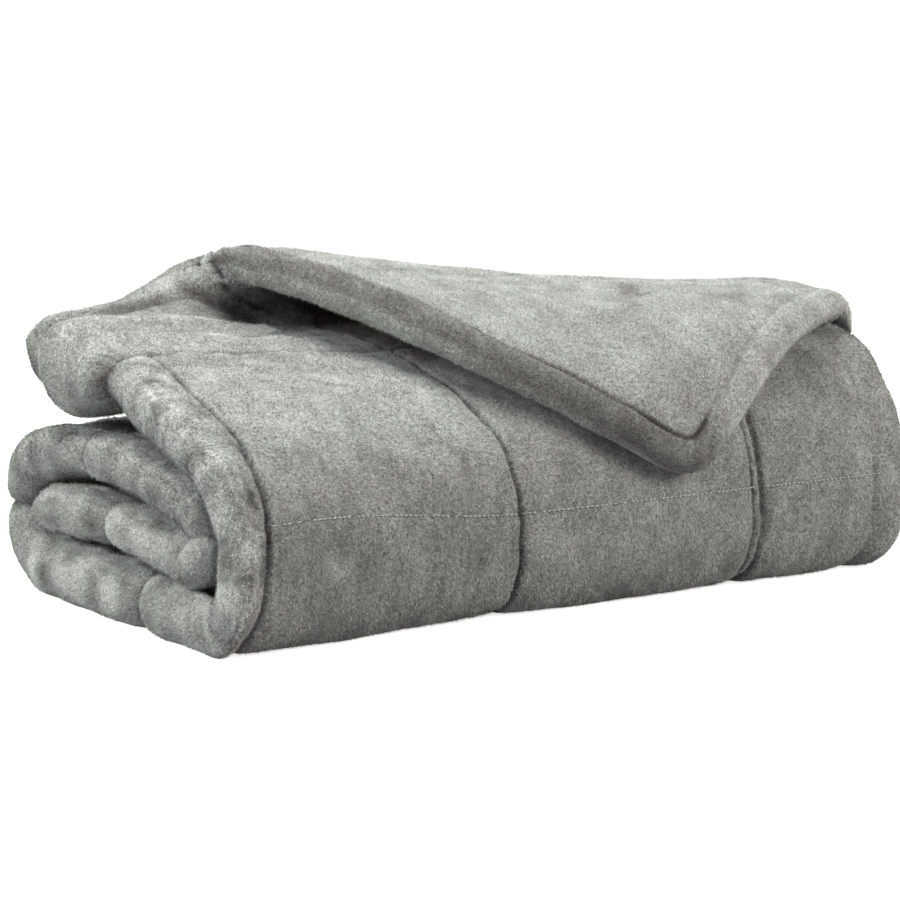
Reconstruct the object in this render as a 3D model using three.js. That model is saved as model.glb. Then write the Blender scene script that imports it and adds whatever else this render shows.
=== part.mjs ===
// Bedspread: one thick quilted layer of plush, wound into a loose roll, its free corner folded back on top.
import * as THREE from "three";

// Sizes in millimetres, angles in degrees
// The roll's axis runs along X, the front faces -Y, and the roll rests on Z = 0
const CLOTH_WIDTH = 632;
const SIDE_ROUNDING = 19;
const HEM_ROUNDING = 16;
const BORDER_WIDTH = 38;
const HEM_SEAM = 24;
const LAYER_START = { y: 288, z: 67, heading: 173, thickness: 45 };
const ROLL_SET_BACK = 16;
const SET_BACK_ENDS = 200;
const SECTION_CHANGE = { from: 180, to: 632 };

// The layer's middle line seen from the left end, from the inner free end to the top of the roll
// Each run has a length and a turn at the left end and at the right end, and the thickness it ends with
const WINDING = [
  { run: "middle", left: 232, leftTurn: 17, right: 232, rightTurn: 17, thickness: 37 },
  { run: "inner turn", left: 62, leftTurn: -175, right: 62, rightTurn: -175, thickness: 33 },
  { run: "second", left: 251, leftTurn: -26, right: 251, rightTurn: -26, thickness: 44 },
  { run: "back turn", left: 133, leftTurn: -169, right: 133, rightTurn: -169, thickness: 46 },
  { run: "bottom back", left: 145, leftTurn: 0, right: 145, rightTurn: 0, thickness: 52 },
  { run: "bottom front", left: 122, leftTurn: 0, right: 122, rightTurn: 0, thickness: 46 },
  { run: "lower front", left: 58, leftTurn: -90, right: 58, rightTurn: -90, thickness: 41 },
  { run: "front", left: 15, leftTurn: 0, right: 12, rightTurn: 0, thickness: 39 },
  { run: "upper front", left: 76, leftTurn: -65, right: 96, rightTurn: -41, thickness: 37 },
  { run: "top front", left: 80, leftTurn: -11, right: 45, rightTurn: -46, thickness: 39 },
  { run: "top", left: 168, leftTurn: -12, right: 178, rightTurn: -14, thickness: 42 },
];

// The folded corner, a row per place along the roll
// setBack: how far before the end of the top run the fold starts
// reach: how far the corner comes forward past the fold
// standOff: distance from the layer below, middle to middle, at the hem
const FOLD = [
  { x: 0, setBack: 12, radius: 66, turn: 40, reach: 0, standOff: 60, thickness: 80 },
  { x: 40, setBack: 28, radius: 76, turn: 49, reach: 0, standOff: 60, thickness: 73 },
  { x: 80, setBack: 30, radius: 74, turn: 61, reach: 0, standOff: 60, thickness: 62 },
  { x: 120, setBack: 28, radius: 64, turn: 82, reach: 0, standOff: 62, thickness: 51 },
  { x: 150, setBack: 18, radius: 48, turn: 114, reach: 0, standOff: 64, thickness: 42 },
  { x: 170, setBack: 10, radius: 37, turn: 148, reach: 10, standOff: 68, thickness: 37 },
  { x: 190, setBack: 4, radius: 33, turn: 176, reach: 60, standOff: 66, thickness: 36 },
  { x: 210, setBack: 0, radius: 31.5, turn: 180, reach: 125, standOff: 62, thickness: 35 },
  { x: 240, setBack: 0, radius: 30, turn: 180, reach: 200, standOff: 53, thickness: 34 },
  { x: 280, setBack: 0, radius: 27, turn: 180, reach: 268, standOff: 44, thickness: 33 },
  { x: 335, setBack: 0, radius: 24, turn: 180, reach: 322, standOff: 40, thickness: 32 },
  { x: 395, setBack: 0, radius: 22, turn: 180, reach: 351, standOff: 37, thickness: 31 },
  { x: 440, setBack: 0, radius: 20.5, turn: 180, reach: 323, standOff: 37, thickness: 30 },
  { x: 500, setBack: 0, radius: 19, turn: 180, reach: 273, standOff: 36, thickness: 29 },
  { x: 560, setBack: 0, radius: 18.5, turn: 180, reach: 232, standOff: 35, thickness: 28 },
  { x: 612, setBack: 0, radius: 18.5, turn: 180, reach: 204.5, standOff: 34.5, thickness: 28 },
  { x: 623, setBack: 0, radius: 18.5, turn: 180, reach: 198.7, standOff: 31, thickness: 28 },
  { x: 632, setBack: 0, radius: 18.5, turn: 180, reach: 194, standOff: 12, thickness: 28 },
];

// Stitched lines, with the share of the thickness each one takes away and how far beside it that reaches
// until: how far along the cloth a line goes before it fades out
// drop: how much nearer to the inner free end a line lies past the left part of the roll
const SEAMS_ACROSS = [
  { at: BORDER_WIDTH, pinch: 0.2, spread: 12, until: 1240, border: true },
  { at: 250, pinch: 0.18, spread: 24, until: 1340, border: false },
  { at: 475, pinch: 0.22, spread: 24, until: 1340, border: false },
  { at: CLOTH_WIDTH - BORDER_WIDTH, pinch: 0.2, spread: 12, until: Infinity, border: true },
];
const SEAMS_ALONG = [
  { at: 115, pinch: 0.16, spread: 20, drop: 0 },
  { at: 270, pinch: 0.1, spread: 20, drop: 0 },
  { at: 475, pinch: 0.16, spread: 20, drop: 0 },
  { at: 620, pinch: 0.16, spread: 20, drop: 0 },
  { at: 840, pinch: 0.16, spread: 20, drop: 0 },
  { at: 1042, pinch: 0.06, spread: 24, drop: 14 },
  { at: 1259, pinch: 0.18, spread: 24, drop: 24 },
];
const SEAM_DROP = { from: 60, to: 260 };
const HEM_SEAM_PINCH = 0.22;
const HEM_SEAM_SPREAD = 10;
const SEAM_FADE = 60;

// How finely the faces follow the form
const HEM_STEPS = [0, 0.18, 0.6, 1];
const PAST_HEM_STEPS = [1, 1.5, 2.3];
const SEAM_STEP = 20;
const WIDEST_COLUMN = 42;
const WIDEST_ROW = 62;
const WIDEST_TURN = 22;
const CREST = { from: 130, to: 240, column: 14 };
const JOIN_BEFORE_FOLD = 70;
const ROWS_TO_FOLD = 3;
const ROWS_ROUND_FOLD = 8;
const ROWS_PAST_FOLD = 9;
const ZONED_REACH = 60;
const HALF = 0.5;
const HEM_SHARE = 0.4;
const STEEPEST_HEM = 1.5;
const WALK_PIECES = 8;

const radians = THREE.MathUtils.degToRad;
const blend = THREE.MathUtils.lerp;
const ease = THREE.MathUtils.smoothstep;

// A monotone curve through one column of a table
function smoothColumn(table, column, x) {
  const slope = table.slice(1).map((row, i) => (row[column] - table[i][column]) / (row.x - table[i].x));
  const tangent = table.map((row, i) => {
    if (i === 0) return slope[0];
    if (i === table.length - 1) return slope[i - 1];
    const product = slope[i - 1] * slope[i];
    return product <= 0 ? 0 : (2 * product) / (slope[i - 1] + slope[i]);
  });
  const next = table.findIndex((row, i) => i > 0 && (x <= row.x || i === table.length - 1));
  const a = table[next - 1];
  const b = table[next];
  const width = b.x - a.x;
  const t = THREE.MathUtils.clamp((x - a.x) / width, 0, 1);
  const left = (1 + 2 * t) * (1 - t) ** 2 * a[column] + t * (1 - t) ** 2 * width * tangent[next - 1];
  const right = t * t * (3 - 2 * t) * b[column] + t * t * (t - 1) * width * tangent[next];
  return left + right;
}

// The runs of the winding as they are at one place along the roll
function runsAt(x) {
  const share = ease(x, SECTION_CHANGE.from, SECTION_CHANGE.to);
  return WINDING.map((row) => ({
    length: blend(row.left, row.right, share),
    turn: radians(blend(row.leftTurn, row.rightTurn, share)),
    thickness: row.thickness,
  }));
}

function woundLength(runs) {
  return runs.reduce((sum, run) => sum + run.length, 0);
}

// A point of the middle line, a given length along the winding
function woundPoint(runs, x, along) {
  let y = LAYER_START.y + ROLL_SET_BACK * ease(x, 0, SET_BACK_ENDS);
  let z = LAYER_START.z;
  let heading = radians(LAYER_START.heading);
  let thickness = LAYER_START.thickness;
  let rest = along;
  let bend = 0;
  for (const run of runs) {
    const step = Math.min(rest, run.length);
    bend = run.turn / run.length;
    const after = heading + bend * step;
    if (bend === 0) {
      y += step * Math.cos(heading);
      z += step * Math.sin(heading);
    } else {
      y += (Math.sin(after) - Math.sin(heading)) / bend;
      z -= (Math.cos(after) - Math.cos(heading)) / bend;
    }
    heading = after;
    thickness = blend(thickness, run.thickness, step / run.length);
    rest -= step;
    if (rest <= 0) break;
  }
  y += rest * Math.cos(heading);
  z += rest * Math.sin(heading);
  return { y, z, heading, thickness, bend };
}

// Everything that is the same for one place along the roll
function stationAt(x) {
  const runs = runsAt(x);
  const fold = { x };
  for (const column of ["setBack", "radius", "turn", "reach", "standOff", "thickness"]) {
    fold[column] = smoothColumn(FOLD, column, x);
  }
  fold.turn = radians(fold.turn);
  fold.start = woundLength(runs) - fold.setBack;
  fold.arc = fold.turn * fold.radius;
  return { x, runs, fold, length: fold.start + fold.arc + fold.reach };
}

// The distance from the layer below, some way past the fold
function heightAbove(fold, forward) {
  const atFold = fold.radius * (1 - Math.cos(fold.turn));
  return blend(atFold, fold.standOff, ease(forward / fold.reach, 0, 1));
}

// The place on the winding that lies under the corner, some way past the fold
function walkBack(station, forward) {
  const { runs, fold } = station;
  let back = fold.start + fold.radius * Math.sin(fold.turn);
  let runStart = woundLength(runs);
  let done = 0;
  for (const run of [...runs].reverse()) {
    runStart -= run.length;
    const step = (back - runStart) / WALK_PIECES;
    const bend = Math.abs(run.turn / run.length);
    for (let k = 0; k < WALK_PIECES; k++) {
      const outer = step * (1 + bend * heightAbove(fold, done));
      if (done + outer >= forward) return back - (step * (forward - done)) / outer;
      done += outer;
      back -= step;
    }
  }
  return back;
}

// A point of the layer's middle surface, with the thickness it has there
function middlePoint(station, along) {
  const { x, runs, fold } = station;
  if (along <= fold.start) {
    const p = woundPoint(runs, x, along);
    const share = ease(along, fold.start - JOIN_BEFORE_FOLD, fold.start);
    return { point: new THREE.Vector3(x, p.y, p.z), thickness: blend(p.thickness, fold.thickness, share) };
  }
  const base = woundPoint(runs, x, fold.start);
  const past = along - fold.start;
  if (past <= fold.arc || fold.reach <= 0) {
    const angle = base.heading + past / fold.radius;
    const y = base.y + fold.radius * (Math.sin(angle) - Math.sin(base.heading));
    const z = base.z - fold.radius * (Math.cos(angle) - Math.cos(base.heading));
    return { point: new THREE.Vector3(x, y, z), thickness: fold.thickness };
  }
  // The corner lies over the wound layer, so the walk goes back along the winding at a distance above it
  const under = woundPoint(runs, x, walkBack(station, past - fold.arc));
  const above = heightAbove(fold, past - fold.arc);
  const y = under.y - Math.sin(under.heading) * above;
  const z = under.z + Math.cos(under.heading) * above;
  return { point: new THREE.Vector3(x, y, z), thickness: fold.thickness };
}

// The round of a filled edge, nothing at the very edge and full at the rounding's width
function edgeRound(distance, rounding) {
  const inward = THREE.MathUtils.clamp(distance / rounding, 0, 1);
  return Math.sqrt(1 - (1 - inward) ** 2);
}

// What a stitched line leaves of the filling at some distance from it
function besideSeam(distance, pinch, spread) {
  return 1 - pinch * Math.exp(-Math.abs(distance) / spread);
}

function halfThickness(station, along, thickness, hemSlope) {
  const x = station.x;
  const toHem = (station.length - along) / hemSlope;
  let share = edgeRound(Math.min(x, CLOTH_WIDTH - x), SIDE_ROUNDING);
  share *= edgeRound(Math.min(along, toHem), HEM_ROUNDING);
  for (const seam of SEAMS_ACROSS) {
    const faded = THREE.MathUtils.clamp((along - seam.until) / SEAM_FADE, 0, 1);
    share *= besideSeam(x - seam.at, seam.pinch * (1 - faded), seam.spread);
  }
  for (const seam of SEAMS_ALONG) {
    const at = seam.at - seam.drop * ease(x, SEAM_DROP.from, SEAM_DROP.to);
    share *= besideSeam(along - at, seam.pinch, seam.spread);
  }
  share *= besideSeam(along - HEM_SEAM, HEM_SEAM_PINCH, HEM_SEAM_SPREAD);
  share *= besideSeam(toHem - HEM_SEAM, HEM_SEAM_PINCH, HEM_SEAM_SPREAD);
  return (thickness / 2) * share;
}

// Fills the gaps between fixed stops so that none is wider than allowed there
function filled(stops, widest) {
  const sorted = [...new Set(stops)].sort((a, b) => a - b);
  const all = [sorted[0]];
  for (let i = 1; i < sorted.length; i++) {
    const gap = sorted[i] - sorted[i - 1];
    const parts = Math.ceil(gap / widest((sorted[i] + sorted[i - 1]) / 2));
    for (let k = 1; k <= parts; k++) all.push(sorted[i - 1] + (gap * k) / parts);
  }
  return all;
}

function columnStops() {
  const side = HEM_STEPS.map((share) => share * SIDE_ROUNDING);
  side.push(BORDER_WIDTH, BORDER_WIDTH + SIDE_ROUNDING);
  const stops = [...side, ...side.map((stop) => CLOTH_WIDTH - stop), CREST.from, CREST.to];
  for (const seam of SEAMS_ACROSS) {
    if (!seam.border) stops.push(seam.at - SEAM_STEP, seam.at, seam.at + SEAM_STEP);
  }
  return filled(stops, (x) => (x > CREST.from && x < CREST.to ? CREST.column : WIDEST_COLUMN));
}

function rowStops(end) {
  const hem = [...HEM_STEPS, ...PAST_HEM_STEPS].map((share) => share * HEM_ROUNDING);
  const stops = [...hem, end];
  for (const seam of SEAMS_ALONG) {
    if (seam.at < end) stops.push(seam.at - SEAM_STEP, seam.at, seam.at + SEAM_STEP);
  }
  const runs = runsAt(0);
  const widest = (along) => {
    const bend = Math.abs(woundPoint(runs, 0, along).bend);
    return bend === 0 ? WIDEST_ROW : Math.min(WIDEST_ROW, radians(WIDEST_TURN) / bend);
  };
  return filled(stops.filter((stop) => stop <= end), widest);
}

// The rows of one column: fixed ones up to the join, then round the fold and out to the slanting hem
function columnRows(station, hemSlope, fixedRows, leftEnd) {
  const join = woundLength(station.runs) - JOIN_BEFORE_FOLD;
  const stretch = HEM_ROUNDING * Math.min(hemSlope, STEEPEST_HEM);
  const steps = [...HEM_STEPS, ...PAST_HEM_STEPS.slice(1)].map((share) => share * stretch);
  const squeeze = Math.min(1, (HEM_SHARE * (station.length - join)) / steps[steps.length - 1]);
  const hem = steps.map((step) => station.length - step * squeeze).reverse();
  const foldStart = Math.min(station.fold.start, blend(join, hem[0], HALF));
  const evenly = blend(foldStart, hem[0], ROWS_ROUND_FOLD / (ROWS_ROUND_FOLD + ROWS_PAST_FOLD));
  const foldEnd = Math.min(station.fold.start + station.fold.arc, evenly);
  const zoned = [];
  for (let k = 1; k <= ROWS_TO_FOLD; k++) zoned.push(blend(join, foldStart, k / ROWS_TO_FOLD));
  for (let k = 1; k <= ROWS_ROUND_FOLD; k++) zoned.push(blend(foldStart, foldEnd, k / ROWS_ROUND_FOLD));
  for (let k = 1; k < ROWS_PAST_FOLD; k++) zoned.push(blend(foldEnd, hem[0], k / ROWS_PAST_FOLD));
  // A short lip has no room past the fold, so its rows lie evenly
  const share = ease(station.fold.reach, 0, ZONED_REACH);
  const spread = zoned.map((row, k) => blend(blend(join, hem[0], (k + 1) / (zoned.length + 1)), row, share));
  return [...fixedRows.map((row) => (row * join) / leftEnd), ...spread, ...hem];
}

// The direction square to the middle surface
function middleNormal(before, station, after, along) {
  const across = middlePoint(after, along).point.sub(middlePoint(before, along).point);
  const forward = middlePoint(station, along + HALF).point.sub(middlePoint(station, along - HALF).point);
  return across.cross(forward).normalize();
}

// Middle points and their offsets to the faces, a list of rows for each column
function middleGrid() {
  const leftEnd = woundLength(runsAt(0)) - JOIN_BEFORE_FOLD;
  const fixedRows = rowStops(leftEnd);
  return columnStops().map((x) => {
    const station = stationAt(x);
    const before = stationAt(Math.max(x - HALF, 0));
    const after = stationAt(Math.min(x + HALF, CLOTH_WIDTH));
    const hemSlope = Math.hypot(1, (after.length - before.length) / (after.x - before.x));
    return columnRows(station, hemSlope, fixedRows, leftEnd).map((along) => {
      const { point, thickness } = middlePoint(station, along);
      const half = halfThickness(station, along, thickness, hemSlope);
      return { point, offset: middleNormal(before, station, after, along).multiplyScalar(half) };
    });
  });
}

// Two triangles for four corners, split along the shorter diagonal
function pushQuad(faces, positions, [a, b, c, d]) {
  const corner = (index) => new THREE.Vector3().fromArray(positions, index * 3);
  const first = corner(a).distanceTo(corner(c));
  const second = corner(b).distanceTo(corner(d));
  if (first <= second) faces.push(a, b, c, a, c, d);
  else faces.push(a, b, d, b, c, d);
}

// One closed skin: the two faces of the layer, joined along the hem
function layerSkin() {
  const grid = middleGrid();
  const columns = grid.length;
  const rows = grid[0].length;
  const positions = [];
  const place = (point) => {
    positions.push(point.x, point.y, Math.max(point.z, 0));
    return positions.length / 3 - 1;
  };
  const inner = [];
  const outer = [];
  for (let i = 0; i < columns; i++) {
    inner.push([]);
    outer.push([]);
    for (let j = 0; j < rows; j++) {
      const { point, offset } = grid[i][j];
      const onEdge = i === 0 || j === 0 || i === columns - 1 || j === rows - 1;
      outer[i].push(place(onEdge ? point : point.clone().sub(offset)));
      inner[i].push(onEdge ? outer[i][j] : place(point.clone().add(offset)));
    }
  }
  const faces = [];
  for (let i = 0; i < columns - 1; i++) {
    for (let j = 0; j < rows - 1; j++) {
      pushQuad(faces, positions, [inner[i][j], inner[i + 1][j], inner[i + 1][j + 1], inner[i][j + 1]]);
      pushQuad(faces, positions, [outer[i][j], outer[i][j + 1], outer[i + 1][j + 1], outer[i + 1][j]]);
    }
  }
  const geometry = new THREE.BufferGeometry();
  geometry.setAttribute("position", new THREE.Float32BufferAttribute(positions, 3));
  geometry.setIndex(faces);
  geometry.computeBoundingBox();
  const middle = geometry.boundingBox.getCenter(new THREE.Vector3());
  geometry.translate(-middle.x, -middle.y, -geometry.boundingBox.min.z);
  geometry.computeVertexNormals();
  return geometry;
}

const plush = new THREE.MeshStandardMaterial({ color: 0x9a9b96, roughness: 0.95, metalness: 0 });
const bedspread = new THREE.Mesh(layerSkin(), plush);
bedspread.name = "bedspread";

const part = new THREE.Group();
part.name = "rolled_bedspread";
part.add(bedspread);

export default part;
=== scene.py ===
"""A rolled quilted plush bedspread: its cloth, pile and stitches, a plain floor and soft studio light."""

import logging
import math
from dataclasses import dataclass, field
from enum import Enum

import bpy
import numpy as np
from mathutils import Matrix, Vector

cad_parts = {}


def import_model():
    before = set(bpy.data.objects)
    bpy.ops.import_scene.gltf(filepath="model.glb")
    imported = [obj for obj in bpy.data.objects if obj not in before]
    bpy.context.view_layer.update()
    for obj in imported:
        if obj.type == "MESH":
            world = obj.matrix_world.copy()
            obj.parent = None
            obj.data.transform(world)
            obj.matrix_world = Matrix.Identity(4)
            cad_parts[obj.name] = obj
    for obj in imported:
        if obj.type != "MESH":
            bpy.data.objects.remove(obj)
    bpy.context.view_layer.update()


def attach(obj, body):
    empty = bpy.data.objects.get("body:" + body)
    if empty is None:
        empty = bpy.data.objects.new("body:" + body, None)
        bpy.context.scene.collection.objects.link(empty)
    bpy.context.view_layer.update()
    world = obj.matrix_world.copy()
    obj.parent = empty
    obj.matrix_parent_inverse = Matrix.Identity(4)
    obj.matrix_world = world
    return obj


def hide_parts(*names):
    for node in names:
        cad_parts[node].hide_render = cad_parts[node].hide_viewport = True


Array = np.ndarray
Colour = tuple[float, float, float, float]
WHITE: Colour = (1.0, 1.0, 1.0, 1.0)
BLACK: Colour = (0.0, 0.0, 0.0, 1.0)
Node = bpy.types.Node
Socket = bpy.types.NodeSocket

LOG = logging.getLogger("bedspread")

# Sizes of the cloth in millimetres, the same as in the part's source
MM = 0.001
CLOTH_WIDTH = 632.0
SIDE_ROUNDING = 19.0
HEM_ROUNDING = 16.0
BORDER_WIDTH = 38.0
HEM_SEAM = 24.0
CENTRE_X = 317.49
CENTRE_Y = 164.33
GROOVE_FADE = 32.0
FADED_AWAY = 40.0
HEM_FADE_FROM = 392.0
HEM_FADE_TO = 430.0
HEM_FADE = 0.85
TOP_SEAM_FROM = 1262.0


class Side(Enum):
    """The two faces of the quilted cloth: one shows on the roll, the other on the flap."""

    ROLL = 1.0
    FLAP = 0.0


@dataclass(frozen=True)
class Run:
    """One run of the winding, with a length and a turn at the left and at the right end."""

    name: str
    left: float
    left_turn: float
    right: float
    right_turn: float
    thickness: float


@dataclass(frozen=True)
class FoldPlace:
    """The folded corner at one place along the roll."""

    x: float
    set_back: float
    radius: float
    turn: float
    reach: float
    stand_off: float
    thickness: float


@dataclass(frozen=True)
class SeamLine:
    """A stitched line: how much and how far it pinches the layer, and its groove's depth and width."""

    at: float
    pinch: float
    spread: float
    groove: float
    width: float
    drop: float = 0.0
    until: float = math.inf
    braid: float = 0.0
    shallow: float = 0.0
    drop_from: float = 60.0
    drop_to: float = 260.0
    knot_height: float = 0.9
    knot_pitch: float = 7.5
    braid_depth: float = 0.35

    def place(self, x: Array | float) -> Array:
        """Where a line along the roll lies at a place across the cloth.

        Args:
            x: places across the cloth.

        Returns:
            The line's place along the cloth.
        """
        return self.at - self.drop * smooth_step(x, self.drop_from, self.drop_to)

    def left_at(self, along: Array, fade: float) -> Array:
        """The share of a line across the roll that is left, past the place where it starts to fade.

        Args:
            along: places along the cloth.
            fade: how long it takes to fade.

        Returns:
            1 where the line is whole to 0 where it has ended.
        """
        return 1 - np.clip((along - self.until) / fade, 0.0, 1.0)

    def profile(self, distance: Array, along: Array) -> Array:
        """The groove's depth beside the line; a braided line has a knotted rib between two grooves.

        Args:
            distance: distance from the line.
            along: distance run along the line.

        Returns:
            The depth, in millimetres.
        """
        if self.braid <= 0:
            return self.groove * np.exp(-np.abs(distance / self.width) ** 1.5)
        pair = np.exp(-np.abs((np.abs(distance) - self.braid) / self.width) ** 1.5)
        rib = self.knot_height * np.exp(-((distance / (self.braid * 0.5)) ** 2))
        knots = rib * np.abs(np.sin(along * math.pi / self.knot_pitch))
        bed = self.braid_depth * self.groove * np.exp(-((distance / self.braid) ** 2))
        return self.groove * pair - knots + bed


@dataclass(frozen=True)
class Stroke:
    """A soft stroke on one face, along places (across, along): a height in millimetres, or a shade."""

    side: Side
    height: float
    width: float
    line: tuple[tuple[float, float], ...]
    fade: float = 14.0

    def at(self, x: Array, along: Array) -> Array:
        """Reads the stroke.

        Args:
            x: places across the cloth.
            along: places along the cloth.

        Returns:
            Its height or shade at each place.
        """
        line = np.array(self.line, float)
        steps = np.linalg.norm(np.diff(line, axis=0), axis=1)
        starts = np.concatenate([[0.0], np.cumsum(steps)])
        nearest = np.full(x.shape, np.inf)
        run = np.zeros(x.shape)
        for start, step, a, b in zip(starts, steps, line[:-1], line[1:]):
            t = np.clip(((x - a[0]) * (b[0] - a[0]) + (along - a[1]) * (b[1] - a[1])) / step**2, 0.0, 1.0)
            away = np.hypot(x - a[0] - t * (b[0] - a[0]), along - a[1] - t * (b[1] - a[1]))
            run = np.where(away < nearest, start + t * step, run)
            nearest = np.minimum(away, nearest)
        ends = smooth_step(run, 0.0, self.fade) * smooth_step(starts[-1] - run, 0.0, self.fade)
        return self.height * ends * np.exp(-((nearest / self.width) ** 2))


WINDING = (
    Run("middle", 232, 17, 232, 17, 37),
    Run("inner turn", 62, -175, 62, -175, 33),
    Run("second", 251, -26, 251, -26, 44),
    Run("back turn", 133, -169, 133, -169, 46),
    Run("bottom back", 145, 0, 145, 0, 52),
    Run("bottom front", 122, 0, 122, 0, 46),
    Run("lower front", 58, -90, 58, -90, 41),
    Run("front", 15, 0, 12, 0, 39),
    Run("upper front", 76, -65, 96, -41, 37),
    Run("top front", 80, -11, 45, -46, 39),
    Run("top", 168, -12, 178, -14, 42),
)
FOLD = (
    FoldPlace(0, 12, 66, 40, 0, 60, 80),
    FoldPlace(40, 28, 76, 49, 0, 60, 73),
    FoldPlace(80, 30, 74, 61, 0, 60, 62),
    FoldPlace(120, 28, 64, 82, 0, 62, 51),
    FoldPlace(150, 18, 48, 114, 0, 64, 42),
    FoldPlace(170, 10, 37, 148, 10, 68, 37),
    FoldPlace(190, 4, 33, 176, 60, 66, 36),
    FoldPlace(210, 0, 31.5, 180, 125, 62, 35),
    FoldPlace(240, 0, 30, 180, 200, 53, 34),
    FoldPlace(280, 0, 27, 180, 268, 44, 33),
    FoldPlace(335, 0, 24, 180, 322, 40, 32),
    FoldPlace(395, 0, 22, 180, 351, 37, 31),
    FoldPlace(440, 0, 20.5, 180, 323, 37, 30),
    FoldPlace(500, 0, 19, 180, 273, 36, 29),
    FoldPlace(560, 0, 18.5, 180, 232, 35, 28),
    FoldPlace(612, 0, 18.5, 180, 204.5, 34.5, 28),
    FoldPlace(623, 0, 18.5, 180, 198.7, 31, 28),
    FoldPlace(632, 0, 18.5, 180, 194, 12, 28),
)
SEAMS_ACROSS = (
    SeamLine(BORDER_WIDTH, 0.2, 12.0, 5.5, 1.9, until=1240.0),
    SeamLine(252, 0.18, 24.0, 5.2, 1.9, until=1340.0),
    SeamLine(477, 0.22, 24.0, 4.6, 1.8, until=1340.0, braid=4.4),
    SeamLine(CLOTH_WIDTH - BORDER_WIDTH, 0.2, 12.0, 0.7, 1.9, shallow=3.0),
)
FRONT_LINE = SeamLine(1040, 0.06, 24.0, 0.9, 1.2, 12.0, shallow=3.0)
SEAMS_ALONG = (
    SeamLine(115, 0.16, 20.0, 6.0, 2.8),
    SeamLine(270, 0.1, 20.0, 3.0, 2.8),
    SeamLine(460, 0.16, 20.0, 6.0, 2.8),
    SeamLine(606, 0.16, 20.0, 5.0, 2.8),
    SeamLine(843, 0.16, 20.0, 6.0, 2.8),
    FRONT_LINE,
    SeamLine(1269, 0.18, 24.0, 4.4, 1.9, 33.0),
)
BORDER_DRIFT = (
    (850.0, 0.0),
    (925.0, -16.0),
    (965.0, -22.0),
    (987.0, -19.0),
    (1010.0, -14.0),
    (1033.0, -10.0),
    (1069.0, -8.0),
    (1107.0, 0.0),
)
CREASES = (
    Stroke(Side.ROLL, -6.0, 3.2, ((167, 1420), (172, 1409), (180, 1402), (189, 1395), (208, 1383)), 6.0),
    Stroke(Side.ROLL, -4.0, 4.0, ((182, 1466), (196, 1448), (228, 1415), (250, 1395)), 12.0),
    Stroke(
        Side.ROLL, -4.5, 8.0, ((121, 1403), (133, 1392), (156, 1384), (184, 1377), (207, 1340), (226, 1304))
    ),
    Stroke(Side.ROLL, 3.6, 10.0, ((12, 1326), (50, 1334), (93, 1338), (157, 1337), (205, 1312)), 24.0),
    Stroke(Side.ROLL, -2.4, 8.0, ((24, 1310), (67, 1312), (111, 1310), (190, 1290)), 24.0),
    Stroke(Side.ROLL, 2.0, 8.0, ((60, 1292), (110, 1286), (170, 1276), (230, 1262)), 24.0),
    Stroke(Side.ROLL, -2.4, 7.0, ((500, 1160), (548, 1128), (580, 1117), (606, 1104)), 30.0),
    Stroke(Side.ROLL, -2.0, 6.0, ((508, 1190), (545, 1160), (590, 1150)), 30.0),
    Stroke(Side.ROLL, 1.8, 10.0, ((498, 1135), (540, 1106), (585, 1080)), 30.0),
    Stroke(Side.ROLL, -1.6, 3.0, ((196, 1100), (205, 1078), (211, 1064)), 6.0),
    Stroke(Side.ROLL, -1.8, 3.5, ((222, 1014), (214, 1003), (208, 992)), 6.0),
    Stroke(Side.FLAP, -2.0, 20.0, ((300, 1470), (390, 1520), (470, 1500)), 60.0),
    Stroke(Side.FLAP, 2.2, 18.0, ((330, 1560), (400, 1610), (455, 1590)), 50.0),
    Stroke(Side.FLAP, -1.8, 12.0, ((490, 1490), (440, 1560), (404, 1615)), 30.0),
    Stroke(Side.FLAP, -1.8, 12.0, ((545, 1560), (520, 1590), (500, 1612)), 20.0),
)
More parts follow.
